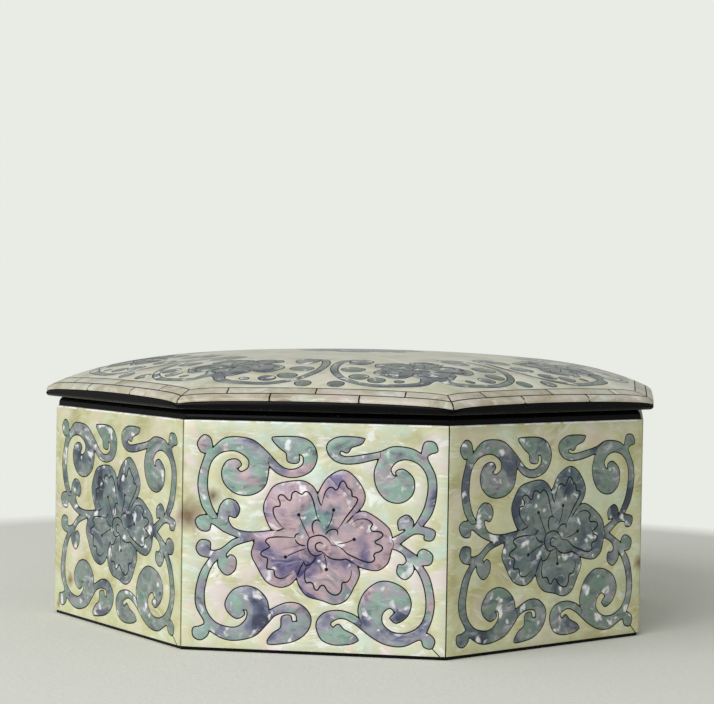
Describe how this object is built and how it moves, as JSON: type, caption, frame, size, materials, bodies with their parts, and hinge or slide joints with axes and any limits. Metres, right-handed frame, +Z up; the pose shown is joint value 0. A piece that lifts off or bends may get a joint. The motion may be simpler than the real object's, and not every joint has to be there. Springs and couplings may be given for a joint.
{
  "type": "inlaid trinket box",
  "caption": "Low octagonal lacquered wooden box with shell veneer, floral abalone inlay and a domed lift-off lid.",
  "frame": {"origin": "centre of the base board's underside, on the surface the box stands on", "axes": "+Z up through the crown of the lid; the front panel faces -Y"},
  "size_m": [0.1146, 0.1146, 0.0509],
  "materials": {
    "black_lacquer": "black lacquer, high gloss",
    "pale_shell": "polished mother-of-pearl, glossy",
    "border_shell": "polished mother-of-pearl tiles, glossy",
    "abalone_shell": "polished abalone, iridescent gloss"
  },
  "bodies": {
    "box": {"base_board": "black_lacquer", "wall_board_1": "black_lacquer", "wall_board_2": "black_lacquer", "wall_board_3": "black_lacquer", "wall_board_4": "black_lacquer", "wall_board_5": "black_lacquer", "wall_board_6": "black_lacquer", "wall_board_7": "black_lacquer", "wall_board_8": "black_lacquer", "side_ground_1": "pale_shell", "side_ground_2": "pale_shell", "side_ground_3": "pale_shell", "side_ground_4": "pale_shell", "side_ground_5": "pale_shell", "side_ground_6": "pale_shell", "side_ground_7": "pale_shell", "side_ground_8": "pale_shell", "side_inlay_1": "abalone_shell", "side_inlay_2": "abalone_shell", "side_inlay_3": "abalone_shell", "side_inlay_4": "abalone_shell", "side_inlay_5": "abalone_shell", "side_inlay_6": "abalone_shell", "side_inlay_7": "abalone_shell", "side_inlay_8": "abalone_shell"},
    "lid": {"lid_board": "black_lacquer", "lid_frame_strip_1": "black_lacquer", "lid_frame_strip_2": "black_lacquer", "lid_frame_strip_3": "black_lacquer", "lid_frame_strip_4": "black_lacquer", "lid_frame_strip_5": "black_lacquer", "lid_frame_strip_6": "black_lacquer", "lid_frame_strip_7": "black_lacquer", "lid_frame_strip_8": "black_lacquer", "lid_border_outer_1": "border_shell", "lid_border_outer_2": "border_shell", "lid_border_outer_3": "border_shell", "lid_border_outer_4": "border_shell", "lid_border_outer_5": "border_shell", "lid_border_outer_6": "border_shell", "lid_border_outer_7": "border_shell", "lid_border_outer_8": "border_shell", "lid_border_inner_1": "border_shell", "lid_border_inner_2": "border_shell", "lid_border_inner_3": "border_shell", "lid_border_inner_4": "border_shell", "lid_border_inner_5": "border_shell", "lid_border_inner_6": "border_shell", "lid_border_inner_7": "border_shell", "lid_border_inner_8": "border_shell", "lid_ground": "pale_shell", "lid_inlay_1": "abalone_shell", "lid_inlay_2": "abalone_shell", "lid_inlay_3": "abalone_shell", "lid_inlay_4": "abalone_shell", "lid_inlay_5": "abalone_shell", "lid_inlay_6": "abalone_shell", "lid_inlay_7": "abalone_shell", "lid_inlay_8": "abalone_shell", "lid_rosette": "abalone_shell"}
  },
  "joints": [
    {"name": "lid_lift", "type": "slide", "parent": "box", "child": "lid", "axis": [0, 0, 1], "range_m": [0, 0.06]}
  ]
}
